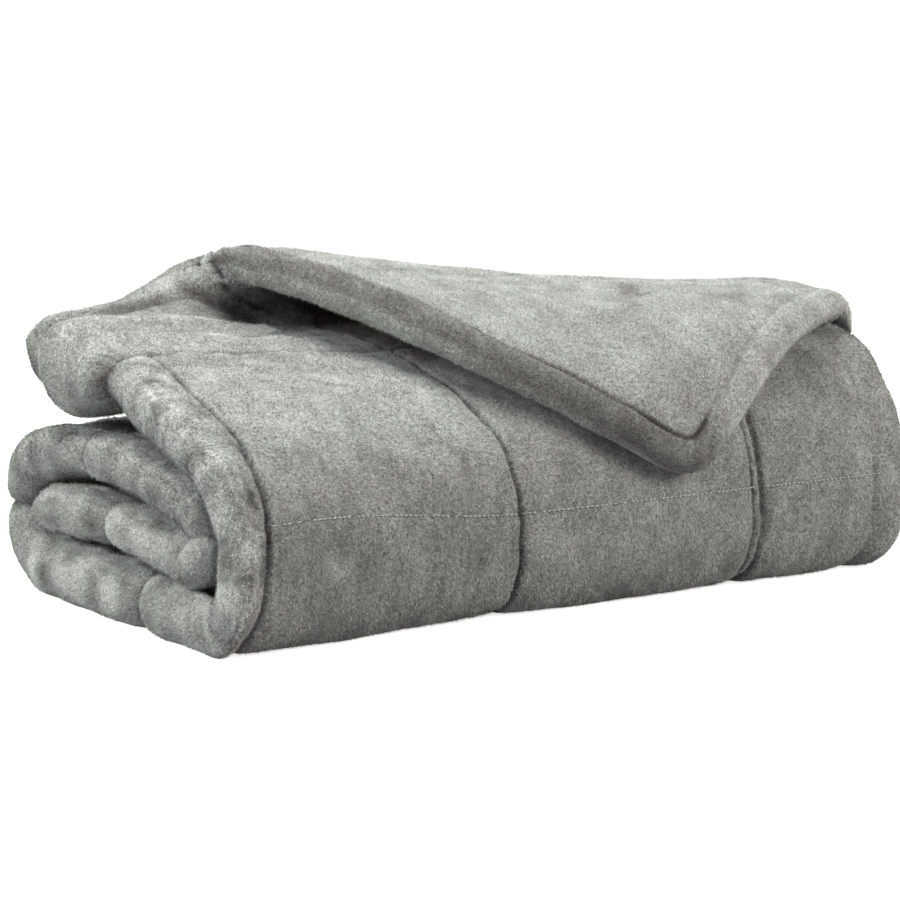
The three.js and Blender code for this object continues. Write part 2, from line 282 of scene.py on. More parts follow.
PAINTED_SHADE_LIGHT_AND_NAP_STROKES = (
    # Painted shade along the creases and the valley at the fold's root.
    Stroke(Side.ROLL, -0.5, 3.4, ((167, 1420), (172, 1409), (180, 1402), (189, 1395), (208, 1383)), 6.0),
    Stroke(
        Side.ROLL, -0.34, 8.0, ((121, 1406), (133, 1395), (156, 1388), (184, 1381), (207, 1346), (226, 1310))
    ),
    # Painted shade above the soft ridge, on its side turned away from the light, and painted light along the
    # ridge.
    Stroke(Side.ROLL, -0.28, 15.0, ((30, 1358), (60, 1364), (100, 1370), (150, 1362), (190, 1350)), 30.0),
    Stroke(Side.ROLL, 0.12, 9.0, ((14, 1332), (60, 1336), (120, 1334), (180, 1318)), 24.0),
    # Painted shadow in the pocket under the flap's fold, and at its mouth.
    Stroke(
        Side.ROLL,
        -0.5,
        16.0,
        ((196, 1484), (215, 1440), (240, 1410), (266, 1384), (267, 1300), (266, 1240), (264, 1185)),
        20.0,
    ),
    Stroke(Side.ROLL, -0.5, 24.0, ((246, 1440), (272, 1400), (290, 1340)), 24.0),
    Stroke(Side.ROLL, -0.16, 12.0, ((190, 1400), (225, 1372), (250, 1330)), 20.0),
    # Painted shade along the flap's creases, then a lighter patch of the nap.
    Stroke(Side.FLAP, -0.2, 8.0, ((490, 1490), (460, 1532), (430, 1575), (404, 1615)), 30.0),
    Stroke(Side.FLAP, -0.16, 6.0, ((470, 1500), (450, 1540), (425, 1566)), 24.0),
    Stroke(Side.FLAP, -0.2, 8.0, ((545, 1560), (520, 1590), (500, 1612)), 20.0),
    Stroke(Side.FLAP, 0.16, 12.0, ((452, 1610), (440, 1636), (425, 1660)), 16.0),
    # Painted shade along the creases low on the roll.
    Stroke(Side.ROLL, -0.14, 9.0, ((500, 1160), (548, 1128), (600, 1104)), 30.0),
    Stroke(Side.ROLL, -0.2, 3.0, ((196, 1100), (205, 1078), (211, 1064)), 6.0),
    Stroke(Side.ROLL, -0.2, 3.0, ((222, 1014), (214, 1003), (208, 992)), 6.0),
    # Darker streaks and lighter patches of the nap.
    Stroke(Side.ROLL, -0.18, 3.5, ((61, 1090), (63, 1070)), 6.0),
    Stroke(Side.ROLL, -0.14, 4.0, ((86, 1096), (76, 1074)), 6.0),
    Stroke(Side.ROLL, -0.18, 3.0, ((129, 1090), (116, 1063)), 7.0),
    Stroke(Side.ROLL, -0.14, 3.0, ((150, 1074), (144, 1058)), 5.0),
    Stroke(Side.ROLL, 0.2, 7.0, ((78, 1018), (88, 1008), (96, 1001)), 6.0),
    Stroke(Side.ROLL, 0.2, 8.0, ((47, 992), (58, 983), (68, 974)), 8.0),
    Stroke(Side.ROLL, -0.14, 7.0, ((540, 1116), (552, 1098), (560, 1080)), 10.0),
)


def smooth_step(values: Array | float, low: float, high: float) -> Array:
    """Blends softly from 0 at low to 1 at high.

    Args:
        values: where to read the blend.
        low: the place where it is 0.
        high: the place where it is 1.

    Returns:
        The blend at each value.
    """
    t = np.clip((np.asarray(values, float) - low) / (high - low), 0.0, 1.0)
    return t * t * (3.0 - 2.0 * t)


def monotone_column(places: tuple[FoldPlace, ...], column: str, x: float) -> float:
    """Reads one column of the fold's table on a monotone curve.

    Args:
        places: the rows of the table.
        column: the name of the column.
        x: the place along the roll, in millimetres.

    Returns:
        The column's value there.
    """
    xs = np.array([place.x for place in places])
    ys = np.array([getattr(place, column) for place in places], float)
    slopes = np.diff(ys) / np.diff(xs)
    product = slopes[:-1] * slopes[1:]
    total = slopes[:-1] + slopes[1:]
    inner = np.where(product > 0, 2 * product / np.where(product > 0, total, 1.0), 0.0)
    tangents = np.concatenate([[slopes[0]], inner, [slopes[-1]]])
    i = int(np.clip(np.searchsorted(xs, x, side="left") - 1, 0, len(xs) - 2))
    width = xs[i + 1] - xs[i]
    t = float(np.clip((x - xs[i]) / width, 0.0, 1.0))
    left = (1 + 2 * t) * (1 - t) ** 2 * ys[i] + t * (1 - t) ** 2 * width * tangents[i]
    right = t * t * (3 - 2 * t) * ys[i + 1] + t * t * (t - 1) * width * tangents[i + 1]
    return float(left + right)


@dataclass(eq=False)
class Unevenness:
    """Smooth seeded unevenness made of plane waves, about -1 to 1.

    Args:
        wavelength: the usual width of a hump, in millimetres.
        seed: which of the patterns to make.
        waves: how many waves are summed.
        stretch: how much longer a hump is along the cloth than across it.
    """

    wavelength: float
    seed: int
    waves: int = 14
    stretch: float = 1.0

    def __post_init__(self) -> None:
        """Draws the waves from the seed."""
        draw = np.random.default_rng(self.seed)
        angle = draw.uniform(0, 2 * math.pi, self.waves)
        size = 2 * math.pi / (self.wavelength * draw.uniform(0.7, 1.6, self.waves))
        self.kx = np.cos(angle) * size
        self.ky = np.sin(angle) * size / self.stretch
        self.phase = draw.uniform(0, 2 * math.pi, self.waves)

    def at(self, x: Array, along: Array) -> Array:
        """Reads the unevenness at places on the cloth.

        Args:
            x: places across the cloth, in millimetres.
            along: places along the cloth, in millimetres.

        Returns:
            The height at each place.
        """
        x, along = np.broadcast_arrays(np.asarray(x, float), np.asarray(along, float))
        total = np.zeros(x.shape)
        for kx, ky, phase in zip(self.kx, self.ky, self.phase):
            total += np.sin(kx * x + ky * along + phase)
        return total / math.sqrt(self.waves / 2.0) / 1.6


@dataclass(frozen=True)
class FineBand:
    """A band in which the skin's rows or columns lie close together."""

    at: float
    reach: float
    spacing: float


def graded_stops(low: float, high: float, spacing: float, bands: list[FineBand]) -> Array:
    """Places that lie close together inside the given bands.

    Args:
        low: the first place.
        high: the last place.
        spacing: the spacing outside the bands.
        bands: where the places lie closer.

    Returns:
        The places, in millimetres.
    """
    grid = np.linspace(low, high, 12001)
    density = np.full(grid.shape, 1.0 / spacing)
    for band in bands:
        inside = np.exp(-(((grid - band.at) / band.reach) ** 4))
        density = np.maximum(density, inside / band.spacing)
    total = np.concatenate([[0.0], np.cumsum((density[1:] + density[:-1]) / 2 * np.diff(grid))])
    return np.interp(np.linspace(0.0, total[-1], int(math.ceil(total[-1])) + 1), total, grid)


def rounding_stops(width: float, count: int) -> Array:
    """Places over a rounded edge, close together at the very edge.

    Args:
        width: the rounding's width.
        count: how many places.

    Returns:
        Distances from the edge, in millimetres.
    """
    return width * (1 - np.cos(np.linspace(0, math.pi / 2, count)))


@dataclass
class Station:
    """The cloth's section at one place along the roll."""

    x: float
    set_back: float = 16.0
    set_back_ends: float = 200.0
    start: tuple[float, float, float, float] = (288.0, 67.0, math.radians(173.0), 45.0)
    change_from: float = 180.0
    change_to: float = 632.0
    walk_pieces: int = 8

    def __post_init__(self) -> None:
        """Works the section out from the tables."""
        share = float(smooth_step(self.x, self.change_from, self.change_to))
        self.lengths = np.array([run.left + (run.right - run.left) * share for run in WINDING])
        self.turns = np.radians([run.left_turn + (run.right_turn - run.left_turn) * share for run in WINDING])
        self.bends = self.turns / self.lengths
        self.starts = np.concatenate([[0.0], np.cumsum(self.lengths)])
        self.thick = np.array([self.start[3], *(run.thickness for run in WINDING)])
        y = self.start[0] + self.set_back * float(smooth_step(self.x, 0, self.set_back_ends))
        z, heading = self.start[1], self.start[2]
        corners = [(y, z, heading)]
        for length, bend in zip(self.lengths, self.bends):
            y, z, heading = self._step(y, z, heading, bend, length)
            corners.append((float(y), float(z), float(heading)))
        self.corners = np.array(corners)
        self.wound = float(self.starts[-1])
        self.radius = monotone_column(FOLD, "radius", self.x)
        self.turn = math.radians(monotone_column(FOLD, "turn", self.x))
        self.reach = monotone_column(FOLD, "reach", self.x)
        self.stand_off = monotone_column(FOLD, "stand_off", self.x)
        self.fold_thickness = monotone_column(FOLD, "thickness", self.x)
        self.fold_start = self.wound - monotone_column(FOLD, "set_back", self.x)
        self.arc = self.turn * self.radius
        self.length = self.fold_start + self.arc + self.reach
        self._walk()

    @staticmethod
    def _step(y: Array, z: Array, heading: Array, bend: Array, step: Array) -> tuple[Array, Array, Array]:
        """Moves along an arc or a straight.

        Args:
            y: start across the roll.
            z: start height.
            heading: direction at the start.
            bend: turn for each millimetre.
            step: distance to go.

        Returns:
            The place and the direction at the end.
        """
        after = heading + bend * step
        bent = np.abs(bend) > 1e-9
        safe = np.where(bent, bend, 1.0)
        dy = np.where(bent, (np.sin(after) - np.sin(heading)) / safe, step * np.cos(heading))
        dz = np.where(bent, (np.cos(heading) - np.cos(after)) / safe, step * np.sin(heading))
        return y + dy, z + dz, after

    def _walk(self) -> None:
        """Lists how far back on the winding each place of the corner lies."""
        back = self.fold_start + self.radius * math.sin(self.turn)
        done, backs, dones = 0.0, [back], [0.0]
        for i in range(len(WINDING) - 1, -1, -1):
            step = (back - self.starts[i]) / self.walk_pieces
            for _ in range(self.walk_pieces):
                done += step * (1 + abs(self.bends[i]) * float(self.height_above(np.array(done))))
                back -= step
                backs.append(back)
                dones.append(done)
            if done > self.reach:
                break
        self.walk_back, self.walk_done = np.array(backs), np.array(dones)

    def height_above(self, forward: Array) -> Array:
        """The corner's distance from the layer below it.

        Args:
            forward: distance past the fold, in millimetres.

        Returns:
            The distance, middle to middle.
        """
        at_fold = self.radius * (1 - math.cos(self.turn))
        share = smooth_step(forward, 0, max(self.reach, 1e-6))
        return at_fold + (self.stand_off - at_fold) * share

    def wound_points(self, along: Array) -> tuple[Array, Array, Array, Array]:
        """Points on the winding.

        Args:
            along: distances from the inner free end, in millimetres.

        Returns:
            Place across, height, direction and thickness at each.
        """
        i = np.clip(np.searchsorted(self.starts, along, side="right") - 1, 0, len(WINDING) - 1)
        step = np.minimum(along - self.starts[i], self.lengths[i])
        past = along - self.starts[i] - step
        y, z, heading = self._step(*self.corners[i].T, self.bends[i], step)
        y, z = y + past * np.cos(heading), z + past * np.sin(heading)
        thickness = self.thick[i] + (self.thick[i + 1] - self.thick[i]) * step / self.lengths[i]
        return y, z, heading, thickness

    def middle(self, along: Array, join: float = 70.0) -> tuple[Array, Array]:
        """Points on the cloth's middle surface.

        Args:
            along: distances along the cloth, in millimetres.
            join: how long before the fold the thickness starts to change.

        Returns:
            The points as rows of x, y, z, and the thickness at each.
        """
        y, z, _, thickness = self.wound_points(along)
        share = smooth_step(along, self.fold_start - join, self.fold_start)
        thickness = thickness + (self.fold_thickness - thickness) * share
        fy, fz, fh, _ = (float(v[0]) for v in self.wound_points(np.array([self.fold_start])))
        past = along - self.fold_start
        angle = fh + past / self.radius
        ay = fy + self.radius * (np.sin(angle) - math.sin(fh))
        az = fz - self.radius * (np.cos(angle) - math.cos(fh))
        forward = past - self.arc
        uy, uz, uh, _ = self.wound_points(np.interp(forward, self.walk_done, self.walk_back))
        above = self.height_above(np.maximum(forward, 0))
        cy, cz = uy - np.sin(uh) * above, uz + np.cos(uh) * above
        on_arc = (past > 0) & ((forward <= 0) | (self.reach <= 1e-6))
        on_corner = (past > 0) & ~on_arc
        y = np.where(on_corner, cy, np.where(on_arc, ay, y))
        z = np.where(on_corner, cz, np.where(on_arc, az, z))
        return np.stack([np.full(y.shape, self.x), y, z], -1), thickness


def seam_distance(x: Array, along: Array) -> Array:
    """Distance to the nearest stitched line that has a groove.

    Args:
        x: places across the cloth.
        along: places along the cloth.

    Returns:
        The distance at each place, in millimetres.
    """
    nearest = np.full(x.shape, 1e3)
    for seam in SEAMS_ACROSS:
        away = np.abs(np.abs(x - seam.at) - seam.braid)
        faded = FADED_AWAY * (1 - seam.left_at(along, GROOVE_FADE))
        nearest = np.minimum(nearest, away + seam.shallow + faded)
    for seam in SEAMS_ALONG:
        nearest = np.minimum(nearest, np.abs(along - seam.place(x)) + seam.shallow)
    return nearest


def hem_groove_left(x: Array | float) -> Array:
    """The share of the hem's groove that is left past the flap's corner.

    Args:
        x: places across the cloth.

    Returns:
        1 before the corner to a small share past it.
    """
    return 1 - HEM_FADE * smooth_step(x, HEM_FADE_FROM, HEM_FADE_TO)


@dataclass
class Skin:
    """The closed skin of the cloth, with what each point needs for its looks."""

    points: Array
    faces: Array
    spots: Array
    sides: Array
    tones: Array
    normals: Array


@dataclass
class PlushToneWithPaintedLight:
    """How light the plush is painted: the pile's own patches, streaks and crushed ends, and painted light and
    shade: light on the roll's top, shade low in front, under the flap's fold, in the creases and the seam
    grooves, and a highlight along the flap's hem.
    """

    patches: Unevenness = Unevenness(80, 31)
    cloud: Unevenness = Unevenness(30, 32)
    crushed: Unevenness = Unevenness(30, 33)
    speckle: Unevenness = Unevenness(8, 34)
    streaks: Unevenness = Unevenness(8, 35, 18, 3.4)
    # Painted shade in the seam grooves and the hem's groove, beside the parted pile.
    shade_reach: float = 2.0
    seam_shade: float = 0.42
    hem_shade: float = 0.55
    patch: float = 0.05
    clouding: float = 0.04
    streak: float = 0.06
    other_face: float = 700.0
    crush_middle: float = 0.62
    crush_share: float = 0.85
    crush_dip: float = 0.22
    calm_right: float = 0.75
    calm_behind: float = 0.6
    top_seam_to: float = 1290.0
    roll_grey: float = 0.39
    roll_right: float = 0.06
    # Painted light on the roll's top (most at the left), painted shade low in front at the left and behind
    # the top seam under the flap's fold, and painted light there at the left end.
    roll_top_light: float = 0.05
    roll_top_left_light: float = 0.20
    roll_low_left_shade: float = 0.07
    roll_behind_shade: float = 0.18
    roll_behind_left_light: float = 0.26
    flap_grey: float = 0.54
    strip_left: float = 0.33
    strip_right: float = 0.08
    # A painted highlight along the flap's hem edge on its right part.
    rim_highlight: float = 0.3
    rim_highlight_reach: float = 5.0

    def tone(self, spots: Array, roll: Array) -> Array:
        """Reads the tone at places on the cloth.

        Args:
            spots: place across, place along and distance to the hem, a row each.
            roll: 1 on the face that shows on the roll, 0 on the face that shows on the flap.

        Returns:
            0 for dark to 1 for light.
        """
        x, along, to_hem = spots.T
        tone = roll * self._roll_tone(x, along) + (1 - roll) * self._flap_tone(x, to_hem)
        shifted = along + self.other_face * (1 - roll)
        tone = tone + self.patch * self.patches.at(x, shifted) + self.clouding * self.cloud.at(x, shifted)
        tone = tone + self.streak * self.streaks.at(x, shifted)
        # Strokes of painted shade and light in the creases, the pocket and on the ridge, and the nap's own
        # streaks and patches.
        for shade in PAINTED_SHADE_LIGHT_AND_NAP_STROKES:
            share = roll if shade.side is Side.ROLL else 1 - roll
            tone = tone + share * shade.at(x, along)
        shown_right = smooth_step(x, 316, 320) * smooth_step(along, 880, 920)
        near_end = 1 - smooth_step(np.minimum(x, CLOTH_WIDTH - x), 26, 42)
        at_end = (1 - self.calm_right * shown_right) * near_end
        crush = self.crush_middle + 0.27 * self.crushed.at(x * 1.4, along)
        crush = crush + 0.18 * self.speckle.at(x * 1.5, along)
        front_end = self.crush_dip * smooth_step(along, 935, 975) * (1 - smooth_step(along, 1090, 1190))
        crush = crush - front_end * smooth_step(x, 8, 30)
        behind = smooth_step(along, TOP_SEAM_FROM, self.top_seam_to)
        tone = tone + at_end * (1 - self.calm_behind * behind) * (crush - tone) * self.crush_share
        # The painted shade in the seam grooves is taken off last.
        return np.clip(tone - self._painted_groove_shade(x, along, to_hem, roll), 0.0, 1.1)

    def _roll_tone(self, x: Array, along: Array) -> Array:
        """The tone of the face that shows on the roll: painted light on top, most at the left, painted shade
        low in front at the left and behind the top seam under the flap's fold, with painted light there at
        the left end.

        Args:
            x: places across the cloth.
            along: places along the cloth.

        Returns:
            The tone.
        """
        left = 1 - smooth_step(x, 246, 262)
        top = smooth_step(along, 1010, 1140)
        behind = smooth_step(along, TOP_SEAM_FROM, self.top_seam_to)
        left_top = behind * (1 - smooth_step(x, 110, 210))
        # Painted shade low in front at the left; painted light on the top, most at the left.
        low = self.roll_low_left_shade * left * (1 - smooth_step(along, 900, 960))
        painted_top_light = top * (self.roll_top_light + self.roll_top_left_light * left)
        tone = self.roll_grey + self.roll_right * (1 - left) + painted_top_light
        # Painted shade behind the top seam, under the flap's fold; painted light there at the left end
        # instead.
        return tone - low - behind * self.roll_behind_shade + self.roll_behind_left_light * left_top

    def _flap_tone(self, x: Array, to_hem: Array) -> Array:
        """The tone of the face that shows on the flap: even, darker on the hem strip's left part, with a
        painted highlight along the hem's edge on the right part.

        Args:
            x: places across the cloth.
            to_hem: distance to the hem.

        Returns:
            The tone.
        """
        on_strip = 1 - smooth_step(to_hem, HEM_SEAM - 3, HEM_SEAM + 3)
        left_part = 1 - smooth_step(x, 400, 450)
        # Painted highlight along the hem's edge on the right part.
        rim_highlight = (1 - left_part) * np.exp(-((to_hem / self.rim_highlight_reach) ** 2))
        tone = self.flap_grey - self.strip_left * on_strip * left_part
        return tone + self.strip_right * on_strip * (1 - left_part) + self.rim_highlight * rim_highlight

    def _painted_groove_shade(self, x: Array, along: Array, to_hem: Array, roll: Array) -> Array:
        """Painted shade in the grooves beside a stitched line and the hem's seam, added to the darker parted
        pile there.

        Args:
            x: places across the cloth.
            along: places along the cloth.
            to_hem: distance to the hem.
            roll: 1 on the face that shows on the roll.

        Returns:
            What is taken from the tone.
        """
        broken = np.clip(0.8 + 0.5 * self.speckle.at(x + 40, along + 40), 0.2, 1.3)
        shade = self.seam_shade * broken * np.exp(-((seam_distance(x, along) / self.shade_reach) ** 2))
        hem = self.hem_shade * np.exp(-(((to_hem - HEM_SEAM) / self.shade_reach) ** 2)) * hem_groove_left(x)
        return np.maximum(shade, hem * (1 - roll))


@dataclass
class RolledCloth:
    """The quilted cloth: sizes, seams, folds and its one closed skin."""

    join_before_fold: float = 70.0
    hem_pinch: float = 0.22
    hem_groove: float = 4.6
    hem_width: float = 1.8
    hem_spread: float = 10.0
    hidden_hem: float = 0.1
    tuck: float = 15.0
    tuck_at: float = TOP_SEAM_FROM
    tuck_reach: float = 52.0
    seam_fade: float = 60.0
    steepest_hem: float = 1.5
    hem_share: float = 0.4
    zoned_reach: float = 60.0
    half: float = 0.5
    edge_puff: float = 3.4
    drawn_in: float = 4.5
    waver: float = 0.7
    pucker_reach: float = 15.0
    broad_height: float = 0.9
    lump_height: float = 0.6
    gather_height: float = 0.75
    other_face: float = 900.0
    column_spacing: float = 6.4
    broad: Unevenness = Unevenness(120, 11)
    lumps: Unevenness = Unevenness(46, 12)
    gathers: Unevenness = Unevenness(17, 13)
    # The painted tone: the nap's own shades, with painted light and shade.
    nap: PlushToneWithPaintedLight = field(default_factory=PlushToneWithPaintedLight)

    def column_stops(self) -> Array:
        """Places of the skin's columns across the cloth.

        Returns:
            The places from the left hem to the right hem, in millimetres.
        """
        edge = rounding_stops(SIDE_ROUNDING, 9)
        bands = [FineBand(seam.at, 5.0 + seam.braid, 1.15) for seam in SEAMS_ACROSS]
        bands.append(FineBand(182.0, 26.0, 3.2))
        body = graded_stops(SIDE_ROUNDING, CLOTH_WIDTH - SIDE_ROUNDING, self.column_spacing, bands)
        return np.concatenate([edge[:-1], body, CLOTH_WIDTH - edge[-2::-1]])

    def row_stops(self, end: float) -> Array:
        """Places of the rows that every column shares, up to the join before the fold.

        Args:
            end: where the join lies at the left end.

        Returns:
            The places along the cloth, in millimetres.
        """
        bands = [FineBand(seam.at, 4.6, 1.3) for seam in SEAMS_ALONG]
        edge = rounding_stops(HEM_ROUNDING, 6)
        inner = graded_stops(HEM_ROUNDING, 640.0, 12.0, bands)
        under = graded_stops(640.0, 930.0, 11.0, bands)
        shown = graded_stops(930.0, end, 4.8, bands)
        return np.concatenate([edge[:-1], inner[:-1], under[:-1], shown])

    def rows_of(self, station: Station, hem_slope: float, fixed: Array, left_join: float) -> Array:
        """Rows of one column, out to the slanting hem.

        Args:
            station: the column's section.
            hem_slope: how much longer the way to the hem is along the cloth than square to the hem.
            fixed: the rows up to the join.
            left_join: where the join lies at the left end.

        Returns:
            The places along the cloth, in millimetres.
        """
        join = station.wound - self.join_before_fold
        seam_steps = np.linspace(HEM_ROUNDING, HEM_SEAM + 10, 14)[1:]
        steps = np.concatenate([rounding_stops(HEM_ROUNDING, 7), seam_steps])
        steps = steps * min(hem_slope, self.steepest_hem)
        squeeze = min(1.0, self.hem_share * (station.length - join) / steps[-1])
        hem = (station.length - steps * squeeze)[::-1]
        to_fold, round_fold, past_fold = 14, 20, 38
        start = min(station.fold_start, join + (hem[0] - join) * 0.5)
        evenly = start + (hem[0] - start) * round_fold / (round_fold + past_fold)
        end = min(station.fold_start + station.arc, evenly)
        zoned = np.concatenate([
            np.linspace(join, start, to_fold + 1)[1:],
            np.linspace(start, end, round_fold + 1)[1:],
            np.linspace(end, hem[0], past_fold + 1)[1:-1],
        ])
        even = np.linspace(join, hem[0], len(zoned) + 2)[1:-1]
        share = float(smooth_step(station.reach, 0, self.zoned_reach))
        rows = np.concatenate([fixed * join / left_join, even + (zoned - even) * share])
        for seam in SEAMS_ALONG:
            moved = seam.at - float(seam.place(station.x))
            rows = rows - moved * np.exp(-(((rows - seam.at) / 55.0) ** 2))
        return np.concatenate([rows, hem])

    @staticmethod
    def _round_off(distance: Array, width: float) -> Array:
        """The share of the thickness that a rounded edge leaves.

        Args:
            distance: distance from the edge.
            width: the rounding's width.

        Returns:
            0 at the very edge to 1.
        """
        return np.sqrt(1 - (1 - np.clip(distance / width, 0, 1)) ** 2)

    def half_thickness(self, station: Station, along: Array, thickness: Array, hem_slope: float) -> Array:
        """Half the cloth's thickness, with rounded hems and soft pinches at the seams.

        Args:
            station: the column's section.
            along: places along the cloth.
            thickness: full thickness at each.
            hem_slope: see rows_of.

        Returns:
            Half the thickness at each place, in millimetres.
        """
        x = station.x
        to_hem = (station.length - along) / hem_slope
        share = self._round_off(np.array(min(x, CLOTH_WIDTH - x)), SIDE_ROUNDING)
        share = share * self._round_off(np.minimum(along, to_hem), HEM_ROUNDING)
        for seam in SEAMS_ACROSS:
            pinch = seam.pinch * seam.left_at(along, self.seam_fade)
            share = share * (1 - pinch * np.exp(-abs(x - seam.at) / seam.spread))
        for seam in SEAMS_ALONG:
            share = share * (1 - seam.pinch * np.exp(-np.abs(along - seam.place(x)) / seam.spread))
        for distance, left in ((along, 1.0), (to_hem, hem_groove_left(x))):
            beside = np.exp(-np.abs(distance - HEM_SEAM) / self.hem_spread)
            share = share * (1 - self.hem_pinch * left * beside)
        return thickness / 2 * share

    def relief(self, station: Station, along: Array, hem_slope: float, side: Side) -> Array:
        """Grooves of the seams, gathers beside them, creases and soft unevenness.

        Args:
            station: the column's section.
            along: places along the cloth.
            hem_slope: see rows_of.
            side: which face of the cloth.

        Returns:
            Height added to that face, in millimetres.
        """
        x = np.full(along.shape, station.x)
        to_hem = (station.length - along) / hem_slope
        shifted = along + (0.0 if side is Side.FLAP else self.other_face)
        waver = self.waver * self.lumps.at(x + 70, along)
        height = np.zeros(along.shape)
        puckers = np.zeros(along.shape)
        for seam in SEAMS_ACROSS:
            fade = seam.left_at(along, GROOVE_FADE)
            height -= seam.profile(x - seam.at + waver, along) * fade
            puckers += np.exp(-np.abs(x - seam.at) / self.pucker_reach) * fade * min(seam.groove / 4, 1.0)
        for seam in SEAMS_ALONG:
            distance = along - seam.place(x) + waver
            height -= seam.profile(distance, x)
            puckers += np.exp(-np.abs(distance) / self.pucker_reach) * min(seam.groove / 4, 1.0)
        shown = 1.0 if side is Side.FLAP else self.hidden_hem
        for distance, left in ((to_hem, hem_groove_left(x) * shown), (along, 1.0)):
            past = (distance - HEM_SEAM + waver) / self.hem_width
            height -= self.hem_groove * left * np.exp(-np.abs(past) ** 1.5)
            puckers += 0.8 * left * np.exp(-np.abs(distance - HEM_SEAM) / self.pucker_reach)
        height += self.broad_height * self.broad.at(x, shifted) + self.lump_height * self.lumps.at(x, shifted)
        height += self.gather_height * np.clip(puckers, 0, 1.1) * self.gathers.at(x, shifted)
        for crease in CREASES:
            if crease.side is side:
                height += crease.at(x, along)
        edge = np.minimum(np.minimum(x, CLOTH_WIDTH - x), np.minimum(along, to_hem))
        return height * smooth_step(edge, 0, HEM_ROUNDING)

    def edge_shift(self, x: float, along: Array) -> Array:
        """How far the side hem puffs out between its cross seams, or is drawn in at them.

        Args:
            x: the column's place.
            along: places along the cloth.

        Returns:
            The shift towards +X, in millimetres.
        """
        edge = min(x, CLOTH_WIDTH - x)
        outward = -1.0 if x < CLOTH_WIDTH / 2 else 1.0
        puff = np.full(along.shape, self.edge_puff)
        for seam in (line for line in SEAMS_ALONG if line is not FRONT_LINE):
            puff -= (self.edge_puff + self.drawn_in) * np.exp(-np.abs(along - seam.at) / 5.0)
            puff -= 1.6 * np.exp(-(((along - seam.at) / 26.0) ** 2))
        puff += 1.2 * self.lumps.at(np.full(along.shape, 40.0 + outward), along)
        shift = outward * puff * float(1 - smooth_step(edge, 2, SIDE_ROUNDING + 6))
        tuck = self.tuck * np.exp(-((np.minimum(along - self.tuck_at, 0.0) / self.tuck_reach) ** 2))
        tuck = tuck * (1 - smooth_step(along, self.tuck_at, self.tuck_at + 16))
        on_border = float(smooth_step(x, 0, 36) * (1 - smooth_step(x, 40, 120)))
        drift = np.interp(along, *zip(*BORDER_DRIFT)) * on_border
        return shift + tuck * float(1 - smooth_step(x, 48, 130)) + drift

    def middle_normals(self, before: Station, station: Station, after: Station, along: Array) -> Array:
        """Directions square to the middle surface.

        Args:
            before: the section just to the left.
            station: the column's section.
            after: the section just to the right.
            along: places along the cloth.

        Returns:
            Unit vectors, a row each.
        """
        across = after.middle(along)[0] - before.middle(along)[0]
        forward = station.middle(along + self.half)[0] - station.middle(along - self.half)[0]
        square = np.cross(across, forward)
        return square / np.linalg.norm(square, axis=1, keepdims=True)

    def outer_point(self, x: float, along: float) -> tuple[Array, Array]:
        """A point of the face that shows on the roll, and its outward direction.

        Args:
            x: place across the cloth.
            along: place along the cloth.

        Returns:
            The point in the part's frame and the direction, in millimetres.
        """
        station, before, after = Station(x), Station(x - self.half), Station(x + self.half)
        row = np.array([along])
        slope = math.hypot(1.0, after.length - before.length)
        middle, thickness = station.middle(row)
        normal = self.middle_normals(before, station, after, row)
        high = self.half_thickness(station, row, thickness, slope)
        high = high + self.relief(station, row, slope, Side.ROLL)
        point = middle[0] + normal[0] * high[0]
        return point - np.array([CENTRE_X, CENTRE_Y, 0.0]), normal[0]

    def skin(self) -> Skin:
        """The closed skin of the cloth.

        Returns:
            The skin in the part's frame, in metres.
        """
        left = Station(0.0)
        left_join = left.wound - self.join_before_fold
        fixed = self.row_stops(left_join)
        flap_side, roll_side, places = [], [], []
        for x in self.column_stops():
            station = Station(float(x))
            before = Station(max(float(x) - self.half, 0.0))
            after = Station(min(float(x) + self.half, CLOTH_WIDTH))
            slope = math.hypot(1.0, (after.length - before.length) / (after.x - before.x))
            along = self.rows_of(station, slope, fixed, left_join)
            middle, thickness = station.middle(along)
            middle[:, 0] += self.edge_shift(station.x, along)
            normal = self.middle_normals(before, station, after, along)
            half = self.half_thickness(station, along, thickness, slope)
            flap = half + self.relief(station, along, slope, Side.FLAP)
            roll = half + self.relief(station, along, slope, Side.ROLL)
            flap_side.append(middle - normal * flap[:, None])
            roll_side.append(middle + normal * roll[:, None])
            places.append(np.stack([np.full(along.shape, x), along, (station.length - along) / slope], -1))
        return self._closed(np.array(flap_side), np.array(roll_side), np.array(places))

    def _closed(self, flap_side: Array, roll_side: Array, places: Array) -> Skin:
        """Joins the two faces along the hem and lays the result in the part's frame.

        Args:
            flap_side: points of the face that shows on the flap, columns by rows.
            roll_side: points of the face that shows on the roll.
            places: cloth coordinates of the grid.

        Returns:
            The skin.
        """
        columns, rows = flap_side.shape[:2]
        number = np.arange(columns * rows).reshape(columns, rows)
        edge = np.zeros((columns, rows), bool)
        edge[[0, -1], :] = True
        edge[:, [0, -1]] = True
        other = np.where(edge, number, 0)
        other[~edge] = columns * rows + np.arange((~edge).sum())
        points = np.concatenate([flap_side.reshape(-1, 3), roll_side[~edge]])
        spots = np.concatenate([places.reshape(-1, 3), places[~edge]])
        first = np.where(edge.ravel(), 0.5, Side.FLAP.value)
        sides = np.concatenate([first, np.full((~edge).sum(), Side.ROLL.value)])
        points = points - np.array([CENTRE_X, CENTRE_Y, 0.0])
        points[:, 2] = np.maximum(points[:, 2], 0.0)
        points = points * MM
        faces = np.concatenate([split_cells(points, other, False), split_cells(points, number, True)])
        # The tones hold painted light and shade as well as the nap's own shades.
        tones = self.nap.tone(spots, sides)
        return Skin(points, faces, spots, sides, tones, point_normals(points, faces))


